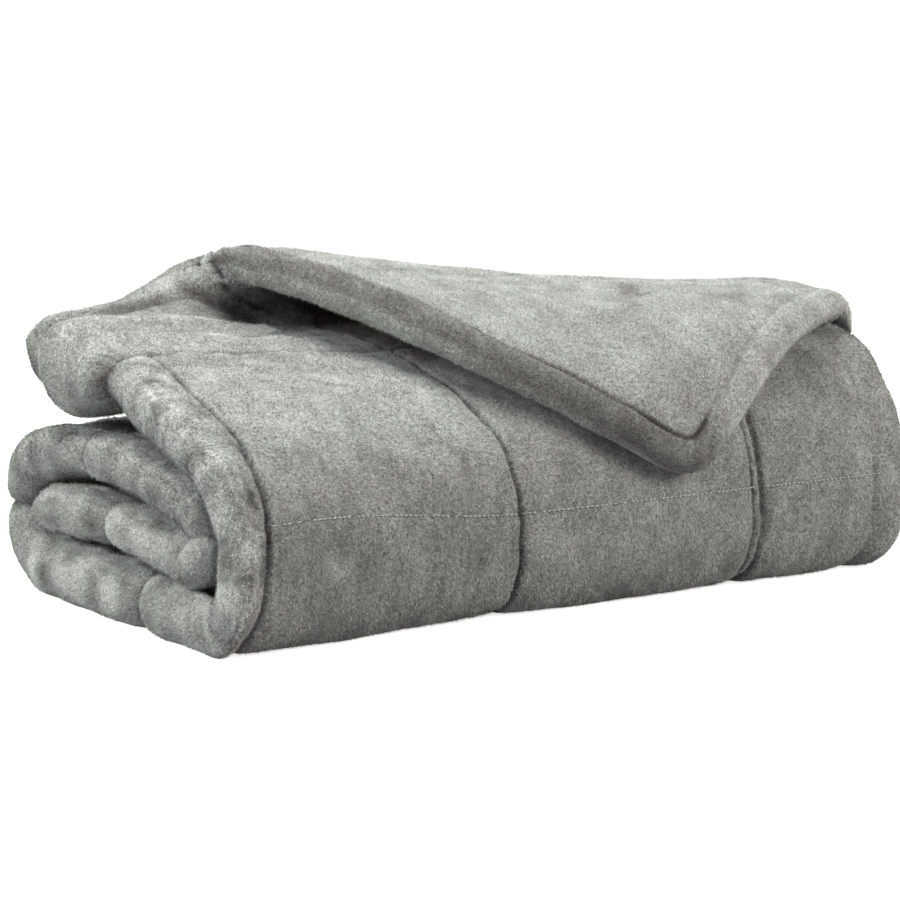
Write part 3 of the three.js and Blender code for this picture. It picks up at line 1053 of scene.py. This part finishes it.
def split_cells(points: Array, grid: Array, flip: bool) -> Array:
    """Two triangles for each cell of a grid, along the shorter diagonal.

    Args:
        points: the points.
        grid: point numbers, columns by rows.
        flip: turns the triangles round.

    Returns:
        Three point numbers a row.
    """
    a, b, c, d = grid[:-1, :-1].ravel(), grid[1:, :-1].ravel(), grid[1:, 1:].ravel(), grid[:-1, 1:].ravel()
    if flip:
        b, d = d, b
    first = np.linalg.norm(points[a] - points[c], axis=1)
    second = np.linalg.norm(points[b] - points[d], axis=1)
    short = (first <= second)[:, None]
    one = np.where(short, np.stack([a, b, c], 1), np.stack([a, b, d], 1))
    two = np.where(short, np.stack([a, c, d], 1), np.stack([b, c, d], 1))
    return np.concatenate([one, two])


def point_normals(points: Array, faces: Array) -> Array:
    """Smooth normals of the points.

    Args:
        points: the points.
        faces: three point numbers a row.

    Returns:
        Unit vectors, a row each.
    """
    a, b, c = (points[faces[:, i]] for i in range(3))
    square = np.cross(b - a, c - a)
    total = np.zeros_like(points)
    for i in range(3):
        np.add.at(total, faces[:, i], square)
    return total / np.maximum(np.linalg.norm(total, axis=1, keepdims=True), 1e-12)


def mesh_object(name: str, points: Array, faces: Array) -> bpy.types.Object:
    """Makes a mesh object of triangles.

    Args:
        name: the object's name.
        points: its points, in metres.
        faces: three point numbers a row.

    Returns:
        The object, in the scene.
    """
    mesh = bpy.data.meshes.new(name)
    mesh.vertices.add(len(points))
    mesh.vertices.foreach_set("co", points.astype(np.float32).ravel())
    mesh.loops.add(len(faces) * 3)
    mesh.loops.foreach_set("vertex_index", faces.astype(np.int32).ravel())
    mesh.polygons.add(len(faces))
    mesh.polygons.foreach_set("loop_start", np.arange(0, len(faces) * 3, 3, dtype=np.int32))
    mesh.polygons.foreach_set("use_smooth", np.ones(len(faces), bool))
    mesh.update(calc_edges=True)
    mesh.validate()
    thing = bpy.data.objects.new(name, mesh)
    bpy.context.scene.collection.objects.link(thing)
    return thing


def add_tone(thing: bpy.types.Object, tones: Array) -> None:
    """Stores a tone for each point.

    Args:
        thing: the mesh object.
        tones: 0 for dark to 1 for light.
    """
    layer = thing.data.attributes.new("tone", "FLOAT", "POINT")
    layer.data.foreach_set("value", tones.astype(np.float32))


@dataclass
class NodeBench:
    """Short ways to add nodes to one tree."""

    tree: bpy.types.NodeTree

    def add(self, kind: str, **values: object) -> Node:
        """Adds a node and sets its properties.

        Args:
            kind: the node's type name.
            **values: properties to set.

        Returns:
            The node.
        """
        node = self.tree.nodes.new(kind)
        for name, value in values.items():
            setattr(node, name, value)
        return node

    def link(self, source: Socket, target: Socket) -> None:
        """Links two sockets.

        Args:
            source: an output.
            target: an input.
        """
        self.tree.links.new(source, target)

    def math(self, operation: str, first: Socket | float, second: Socket | float = 0.0) -> Socket:
        """Adds a Math node.

        Args:
            operation: its operation.
            first: a socket or a number.
            second: a socket or a number.

        Returns:
            The result's socket.
        """
        node = self.add("ShaderNodeMath", operation=operation)
        for slot, value in zip(node.inputs, (first, second)):
            if isinstance(value, (int, float)):
                slot.default_value = value
            else:
                self.link(value, slot)
        return node.outputs[0]

    def noise(
        self, place: Socket, scale: float, detail: float, roughness: float = 0.5, distortion: float = 0.0
    ) -> Socket:
        """Adds a Noise Texture.

        Args:
            place: the coordinates.
            scale: noise cells for each unit.
            detail: octaves.
            roughness: how strong the finer octaves are.
            distortion: how much the cells swirl.

        Returns:
            The noise value's socket.
        """
        node = self.add("ShaderNodeTexNoise")
        self.link(place, node.inputs["Vector"])
        values = {"Scale": scale, "Detail": detail, "Roughness": roughness, "Distortion": distortion}
        for name, value in values.items():
            node.inputs[name].default_value = value
        return node.outputs["Fac"]

    def ramp(self, value: Socket, stops: list[tuple[float, float]]) -> Socket:
        """Adds a grey ramp.

        Args:
            value: what it reads.
            stops: position and grey of each stop.

        Returns:
            The colour's socket.
        """
        node = self.add("ShaderNodeValToRGB")
        node.color_ramp.interpolation = "EASE"
        while len(node.color_ramp.elements) < len(stops):
            node.color_ramp.elements.new(0.5)
        for element, (position, grey) in zip(node.color_ramp.elements, stops):
            element.position = position
            element.color = (grey, grey, grey, 1.0)
        self.link(value, node.inputs["Fac"])
        return node.outputs["Color"]

    def mix(
        self, factor: Socket | float, first: Socket | Colour, second: Socket | Colour, blend: str = "MIX"
    ) -> Socket:
        """Mixes two colours.

        Args:
            factor: share of the second.
            first: a socket or a colour.
            second: a socket or a colour.
            blend: the blend type.

        Returns:
            The mixed colour's socket.
        """
        node = self.add("ShaderNodeMix", data_type="RGBA", blend_type=blend)
        for slot, value in ((node.inputs[0], factor), (node.inputs[6], first), (node.inputs[7], second)):
            if isinstance(value, (int, float, tuple)):
                slot.default_value = value
            else:
                self.link(value, slot)
        return node.outputs[2]


def empty_material(name: str) -> tuple[bpy.types.Material, NodeBench]:
    """Makes a material without nodes.

    Args:
        name: the material's name.

    Returns:
        The material and a bench for its nodes.
    """
    material = bpy.data.materials.new(name)
    material.use_nodes = True
    material.node_tree.nodes.clear()
    return material, NodeBench(material.node_tree)


def nap_group() -> bpy.types.NodeTree:
    """Builds the node group of the plush nap: fine shades and grain over a given tone.

    Returns:
        The group, with a Shade and a Grain value.
    """
    group = bpy.data.node_groups.new("plush_nap", "ShaderNodeTree")
    sockets = (("Place", "INPUT", "Vector"), ("Tone", "INPUT", "Float"), ("Shade", "OUTPUT", "Float"),
               ("Grain", "OUTPUT", "Float"))
    for name, way, kind in sockets:
        group.interface.new_socket(name, in_out=way, socket_type=f"NodeSocket{kind}")
    bench = NodeBench(group)
    inside = bench.add("NodeGroupInput")
    outside = bench.add("NodeGroupOutput")
    place = inside.outputs["Place"]
    soft = bench.noise(place, 60.0, 3.0, 0.6, 0.4)
    grain = bench.noise(place, 680.0, 2.0, 0.6)
    fine = bench.noise(place, 300.0, 2.0, 0.6)
    softly = bench.math("MULTIPLY", bench.math("SUBTRACT", soft, 0.5), 0.2)
    shade = bench.math("ADD", inside.outputs["Tone"], softly)
    mixed = bench.math("ADD", bench.math("MULTIPLY", grain, 0.65), bench.math("MULTIPLY", fine, 0.35))
    bench.link(shade, outside.inputs["Shade"])
    bench.link(mixed, outside.inputs["Grain"])
    return group


@dataclass(frozen=True)
class PlushFinish:
    """Grey plush, mixed from a warm dark and a cool light colour by the tone, which carries the nap's own
    shades and painted light and shade.
    """

    name: str
    dark: Colour = (0.068, 0.063, 0.057, 1.0)
    light: Colour = (0.45, 0.465, 0.443, 1.0)
    roughness: float = 0.88
    sheen: float = 0.35
    sheen_roughness: float = 0.4
    specular: float = 0.2
    grain_low: float = 0.5
    grain_high: float = 1.4
    bump: float = 0.6
    bump_size: float = 0.0014

    def build(self, nap: bpy.types.NodeTree) -> bpy.types.Material:
        """Makes the material.

        Args:
            nap: the plush nap's node group.

        Returns:
            The material.
        """
        material, bench = empty_material(self.name)
        coordinates = bench.add("ShaderNodeTexCoord")
        tone = bench.add("ShaderNodeAttribute", attribute_name="tone")
        effect = bench.add("ShaderNodeGroup")
        effect.node_tree = nap
        bench.link(coordinates.outputs["Object"], effect.inputs["Place"])
        bench.link(tone.outputs["Fac"], effect.inputs["Tone"])
        colour = bench.mix(effect.outputs["Shade"], self.dark, self.light)
        grain = bench.ramp(effect.outputs["Grain"], [(0.32, self.grain_low), (0.68, self.grain_high)])
        colour = bench.mix(1.0, colour, grain, "MULTIPLY")
        shader = bench.add("ShaderNodeBsdfPrincipled")
        bench.link(colour, shader.inputs["Base Color"])
        shader.inputs["Roughness"].default_value = self.roughness
        shader.inputs["Sheen Weight"].default_value = self.sheen
        shader.inputs["Sheen Roughness"].default_value = self.sheen_roughness
        shader.inputs["Specular IOR Level"].default_value = self.specular
        if self.bump > 0:
            bump = bench.add("ShaderNodeBump")
            bump.inputs["Strength"].default_value = self.bump
            bump.inputs["Distance"].default_value = self.bump_size
            bench.link(effect.outputs["Grain"], bump.inputs["Height"])
            bench.link(bump.outputs["Normal"], shader.inputs["Normal"])
        output = bench.add("ShaderNodeOutputMaterial")
        bench.link(shader.outputs["BSDF"], output.inputs["Surface"])
        return material


@dataclass
class Pile:
    """The plush pile: short tapered fibres that stand on the cloth."""

    fibres_a_piece: int = 190000
    pieces: int = 4
    length: float = 0.0026
    width: float = 0.00038
    lay: float = 0.85
    lay_spread: float = 0.25
    seam_reach: float = 3.6
    seam_length: float = 0.25
    floor_gap: float = 0.0002
    seed: int = 5
    tone_spread: float = 0.16
    swirl_turn: float = 1.1
    swirl_spread: float = 0.5
    hem_faded: float = 30.0
    swirl: Unevenness = Unevenness(38, 21)

    def build(self, skin: Skin, weight: Array) -> list[bpy.types.Object]:
        """Strews the fibres over the cloth.

        Args:
            skin: the cloth's skin.
            weight: how densely each triangle is covered.

        Returns:
            The pile's objects.
        """
        draw = np.random.default_rng(self.seed)
        faces = skin.faces
        a, b, c = (skin.points[faces[:, i]] for i in range(3))
        area = np.linalg.norm(np.cross(b - a, c - a), axis=1) / 2
        chance = area * weight
        total = self.fibres_a_piece * self.pieces
        chosen = draw.choice(len(faces), total, p=chance / chance.sum())
        share = draw.random((total, 2))
        share = np.where(share.sum(1, keepdims=True) > 1, 1 - share, share)
        share = np.stack([1 - share.sum(1), share[:, 0], share[:, 1]], 1)[:, :, None]
        corner = faces[chosen]
        root = (skin.points[corner] * share).sum(1)
        normal = (skin.normals[corner] * share).sum(1)
        normal /= np.maximum(np.linalg.norm(normal, axis=1, keepdims=True), 1e-12)
        spot = (skin.spots[corner] * share).sum(1)
        tone = (skin.tones[corner] * share[:, :, 0]).sum(1)
        nap = -self._along_direction(a, b, c, *(skin.spots[faces[:, i]] for i in range(3)))[chosen]
        nap -= normal * (nap * normal).sum(1, keepdims=True)
        nap /= np.maximum(np.linalg.norm(nap, axis=1, keepdims=True), 1e-9)
        side = np.cross(normal, nap)
        turn = self.swirl_turn * self.swirl.at(spot[:, 0], spot[:, 1])
        turn = turn + draw.normal(0, self.swirl_spread, total)
        nap = nap * np.cos(turn)[:, None] + side * np.sin(turn)[:, None]
        side = np.cross(normal, nap)
        lean = self.lay + draw.normal(0, self.lay_spread, total)
        beside = seam_distance(spot[:, 0], spot[:, 1])
        hem = np.abs(spot[:, 2] - HEM_SEAM) + self.hem_faded * (1 - hem_groove_left(spot[:, 0]))
        beside = np.minimum(beside, hem)
        short = self.seam_length + (1 - self.seam_length) * np.clip(beside / self.seam_reach, 0, 1)
        length = self.length * short * draw.uniform(0.6, 1.25, total)
        tip = root + (normal * np.cos(lean)[:, None] + nap * np.sin(lean)[:, None]) * length[:, None]
        half = side * (self.width * draw.uniform(0.7, 1.3, total) / 2)[:, None]
        made = np.stack([root - half, root + half, tip], 1)
        made[:, :, 2] = np.maximum(made[:, :, 2], self.floor_gap)
        tone = np.clip(tone + draw.normal(0, self.tone_spread, total), 0.0, 1.2)
        objects = []
        for i in range(self.pieces):
            part = slice(i * self.fibres_a_piece, (i + 1) * self.fibres_a_piece)
            points = made[part].reshape(-1, 3)
            piece = mesh_object(f"pile_{i + 1}", points, np.arange(len(points)).reshape(-1, 3))
            add_tone(piece, np.repeat(tone[part], 3))
            objects.append(piece)
        return objects

    @staticmethod
    def _along_direction(a: Array, b: Array, c: Array, sa: Array, sb: Array, sc: Array) -> Array:
        """The direction in which the cloth's length grows, on each triangle.

        Args:
            a: first corners.
            b: second corners.
            c: third corners.
            sa: cloth coordinates of the first corners.
            sb: of the second.
            sc: of the third.

        Returns:
            A direction a row.
        """
        e1, e2 = b - a, c - a
        d1, d2 = sb - sa, sc - sa
        determinant = d1[:, 0] * d2[:, 1] - d1[:, 1] * d2[:, 0]
        determinant = np.where(np.abs(determinant) < 1e-8, 1e-8, determinant)
        return (e2 * d1[:, :1] - e1 * d2[:, :1]) / determinant[:, None]


@dataclass(frozen=True)
class ThreadFinish:
    """Pale matt sewing thread with twisted plies."""

    name: str = "pale_thread"
    dark: Colour = (0.34, 0.34, 0.32, 1.0)
    light: Colour = (0.66, 0.665, 0.64, 1.0)
    roughness: float = 0.7

    def build(self) -> bpy.types.Material:
        """Makes the material.

        Returns:
            The material.
        """
        material, bench = empty_material(self.name)
        coordinates = bench.add("ShaderNodeTexCoord")
        plies = bench.noise(coordinates.outputs["Object"], 900.0, 2.0, 0.6)
        shader = bench.add("ShaderNodeBsdfPrincipled")
        bench.link(bench.mix(plies, self.dark, self.light), shader.inputs["Base Color"])
        shader.inputs["Roughness"].default_value = self.roughness
        output = bench.add("ShaderNodeOutputMaterial")
        bench.link(shader.outputs["BSDF"], output.inputs["Surface"])
        return material


@dataclass
class Stitching:
    """The pale stitches that show: along the front line, and low on the left border."""

    pitch: float = 4.2
    stitch: float = 3.8
    thickness: float = 1.25
    missing: float = 0.13
    sides: int = 5
    rings: int = 5
    stand: float = 2.3
    root_depth: float = 0.35
    seed: int = 9
    front_from: float = 30.0
    front_to: float = 600.0
    border_from: float = 945.0
    border_to: float = 1036.0

    def build(self, cloth: RolledCloth) -> bpy.types.Object:
        """Sews the stitches on the cloth's outer face.

        Args:
            cloth: the quilted cloth.

        Returns:
            The stitches' object.
        """
        draw = np.random.default_rng(self.seed)
        points, faces = [], []
        for x in np.arange(self.front_from, self.front_to, self.pitch):
            if draw.random() > self.missing:
                start = (x, float(FRONT_LINE.place(x)))
                end = (x + self.stitch, float(FRONT_LINE.place(x + self.stitch)))
                self._stitch(cloth, start, end, float(draw.uniform(0.75, 1.2)), points, faces)
        for along in np.arange(self.border_from, self.border_to, self.pitch):
            start, end = (BORDER_WIDTH + 1.0, along), (BORDER_WIDTH - 0.5, along + self.stitch)
            self._stitch(cloth, start, end, 1.3, points, faces)
        return mesh_object("stitching", np.array(points), np.array(faces))

    def _stitch(
        self,
        cloth: RolledCloth,
        start: tuple[float, float],
        end: tuple[float, float],
        size: float,
        points: list[Array],
        faces: list[list[int]],
    ) -> None:
        """Adds one stitch, a small tube that dives into the pile at both ends.

        Args:
            cloth: the quilted cloth.
            start: where it starts on the cloth.
            end: where it ends.
            size: its thickness against the usual one.
            points: the points so far.
            faces: the triangles so far.
        """
        first = len(points)
        for k in range(self.rings):
            t = k / (self.rings - 1)
            x = start[0] + (end[0] - start[0]) * t
            along = start[1] + (end[1] - start[1]) * t
            place, normal = cloth.outer_point(x, along)
            lift = self.stand * math.sin(math.pi * t) - self.root_depth
            girth = self.thickness * size / 2 * (0.5 + 0.5 * math.sin(math.pi * t))
            near_x, near_along = x + (end[0] - start[0]) * 0.1, along + (end[1] - start[1]) * 0.1
            ahead = cloth.outer_point(near_x, near_along)[0] - place
            across = np.cross(normal, ahead / max(float(np.linalg.norm(ahead)), 1e-9))
            for side in range(self.sides):
                turn = 2 * math.pi * side / self.sides
                offset = across * math.cos(turn) + normal * math.sin(turn)
                points.append((place + normal * lift + offset * girth) * MM)
        for k in range(self.rings - 1):
            for side in range(self.sides):
                a = first + k * self.sides + side
                b = first + k * self.sides + (side + 1) % self.sides
                faces.append([a, b, b + self.sides])
                faces.append([a, b + self.sides, a + self.sides])


@dataclass(frozen=True)
class Lamp:
    """One soft area light that looks at the roll."""

    name: str
    place: tuple[float, float, float]
    size: float
    power: float
    colour: tuple[float, float, float]

    def build(self) -> None:
        """Hangs the light."""
        data = bpy.data.lights.new(self.name, "AREA")
        data.shape = "SQUARE"
        data.size = self.size
        data.energy = self.power
        data.color = self.colour
        lamp = bpy.data.objects.new(self.name, data)
        lamp.location = self.place
        lamp.rotation_euler = (Vector((0, 0, 0.1)) - Vector(self.place)).to_track_quat("-Z", "Y").to_euler()
        bpy.context.scene.collection.objects.link(lamp)


@dataclass
class Studio:
    """A pale floor, soft light and the camera."""

    target: tuple[float, float, float] = (-0.0415, -0.0444, 0.1124)
    azimuth: float = 33.26
    elevation: float = 8.88
    distance: float = 2.3861
    focal_px: float = 3053.0
    frame_px: float = 900.0
    surround: float = 0.30
    floor_seen: float = 0.82
    floor_bounce: float = 0.30
    floor_half: float = 40.0
    floor_drop: float = 0.0005
    floor_colour: Colour = (0.95, 0.95, 0.95, 1.0)
    backdrop: float = 1.2
    sensor_mm: float = 36.0
    lamps: tuple[Lamp, ...] = (
        Lamp("top_light", (-0.35, 0.55, 1.9), 1.2, 44.0, (0.975, 1.0, 0.99)),
        Lamp("left_light", (-2.1, 0.2, 1.2), 1.0, 38.0, (1.0, 1.0, 0.985)),
        Lamp("front_light", (1.1, -2.3, 1.3), 1.4, 62.0, (1.0, 0.955, 0.925)),
    )

    def build(self) -> None:
        """Makes the floor, the lights, the world and the camera."""
        self._floor()
        self._world()
        for lamp in self.lamps:
            lamp.build()
        self._camera()

    def _floor(self) -> None:
        """Makes the plain pale floor, which looks white and throws little light back."""
        half = self.floor_half
        points = np.array([[-half, -half, 0], [half, -half, 0], [half, half, 0], [-half, half, 0]], float)
        floor = mesh_object("floor", points, np.array([[0, 1, 2], [0, 2, 3]]))
        floor.location.z = -self.floor_drop
        material = bpy.data.materials.new("pale_floor")
        material.use_nodes = True
        bench = NodeBench(material.node_tree)
        shader = material.node_tree.nodes["Principled BSDF"]
        path = bench.add("ShaderNodeLightPath")
        seen = path.outputs["Is Camera Ray"]
        grey = (self.floor_bounce, self.floor_bounce, self.floor_bounce, 1.0)
        bench.link(bench.mix(seen, grey, self.floor_colour), shader.inputs["Base Color"])
        bench.link(bench.mix(seen, BLACK, WHITE), shader.inputs["Emission Color"])
        shader.inputs["Emission Strength"].default_value = self.floor_seen
        shader.inputs["Roughness"].default_value = 0.95
        floor.data.materials.append(material)

    def _world(self) -> None:
        """Sets a white backdrop and a softer even light from all round."""
        world = bpy.data.worlds.new("studio")
        world.use_nodes = True
        bench = NodeBench(world.node_tree)
        light = world.node_tree.nodes["Background"]
        light.inputs["Color"].default_value = WHITE
        light.inputs["Strength"].default_value = self.surround
        backdrop = bench.add("ShaderNodeBackground")
        backdrop.inputs["Color"].default_value = WHITE
        backdrop.inputs["Strength"].default_value = self.backdrop
        path = bench.add("ShaderNodeLightPath")
        both = bench.add("ShaderNodeMixShader")
        bench.link(path.outputs["Is Camera Ray"], both.inputs[0])
        bench.link(light.outputs[0], both.inputs[1])
        bench.link(backdrop.outputs[0], both.inputs[2])
        bench.link(both.outputs[0], world.node_tree.nodes["World Output"].inputs["Surface"])
        bpy.context.scene.world = world

    def _camera(self) -> None:
        """Sets the camera at the photograph's viewing angle."""
        turn, lift = math.radians(self.azimuth), math.radians(self.elevation)
        look = Vector((math.sin(turn) * math.cos(lift), math.cos(turn) * math.cos(lift), -math.sin(lift)))
        data = bpy.data.cameras.new("camera")
        data.sensor_width = self.sensor_mm
        data.lens = self.focal_px / self.frame_px * self.sensor_mm
        data.clip_end = 200.0
        camera = bpy.data.objects.new("camera", data)
        camera.location = Vector(self.target) - look * self.distance
        camera.rotation_euler = look.to_track_quat("-Z", "Y").to_euler()
        bpy.context.scene.collection.objects.link(camera)
        bpy.context.scene.camera = camera


@dataclass
class Bedspread:
    """The whole bedspread: cloth, pile and stitches."""

    cloth: RolledCloth = field(default_factory=RolledCloth)
    pile: Pile = field(default_factory=Pile)
    stitching: Stitching = field(default_factory=Stitching)
    ground: PlushFinish = PlushFinish("plush_ground")
    fibres: PlushFinish = PlushFinish(
        "plush_pile", (0.106, 0.098, 0.088, 1.0), (0.625, 0.645, 0.615, 1.0), grain_high=1.5, bump=0.0
    )
    thread: ThreadFinish = ThreadFinish()

    def build(self) -> None:
        """Builds and dresses the cloth, its pile and its stitches."""
        nap = nap_group()
        skin = self.cloth.skin()
        body = mesh_object("quilted_cloth", skin.points, skin.faces)
        add_tone(body, skin.tones)
        body.data.materials.append(self.ground.build(nap))
        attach(body, "root")
        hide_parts("bedspread")
        LOG.info("cloth: %d triangles", len(body.data.polygons))
        material = self.fibres.build(nap)
        for piece in self.pile.build(skin, self._cover(skin)):
            piece.data.materials.append(material)
            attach(piece, "root")
            LOG.info("%s: %d fibres", piece.name, len(piece.data.polygons))
        stitches = self.stitching.build(self.cloth)
        stitches.data.materials.append(self.thread.build())
        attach(stitches, "root")
        LOG.info("stitching: %d triangles", len(stitches.data.polygons))

    @staticmethod
    def _cover(skin: Skin) -> Array:
        """How densely the pile covers each triangle: full where it shows, none deep inside the roll.

        Args:
            skin: the cloth's skin.

        Returns:
            A weight for each triangle.
        """
        spot = skin.spots[skin.faces].mean(1)
        side = skin.sides[skin.faces].mean(1)
        height = skin.points[skin.faces].mean(1)[:, 2]
        x, along = spot[:, 0], spot[:, 1]
        wound = Station(0.0).wound
        near_end = 1 - smooth_step(np.minimum(x, CLOTH_WIDTH - x), 40, 90)
        on_roll = (side > 0.4) & (along > 545) & (along < wound)
        under_flap = smooth_step(x, 290, 330) * smooth_step(along, 1190, 1230)
        on_flap = (along > wound - 35) & ((side < 0.6) | (x < 330))
        weight = np.maximum(near_end, np.where(on_roll, 1 - 0.85 * under_flap, 0.0))
        weight = np.maximum(weight, np.where(on_flap, 1.0, 0.0))
        return np.where(height < 0.0006, 0.0, weight) + 1e-9


def main() -> None:
    """Builds the studio and the bedspread."""
    logging.basicConfig(level=logging.INFO, format="%(message)s")
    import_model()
    bpy.context.scene.view_settings.view_transform = "Standard"
    Studio().build()
    LOG.info("studio: floor, lights and camera")
    Bedspread().build()


if __name__ == "__main__":
    main()
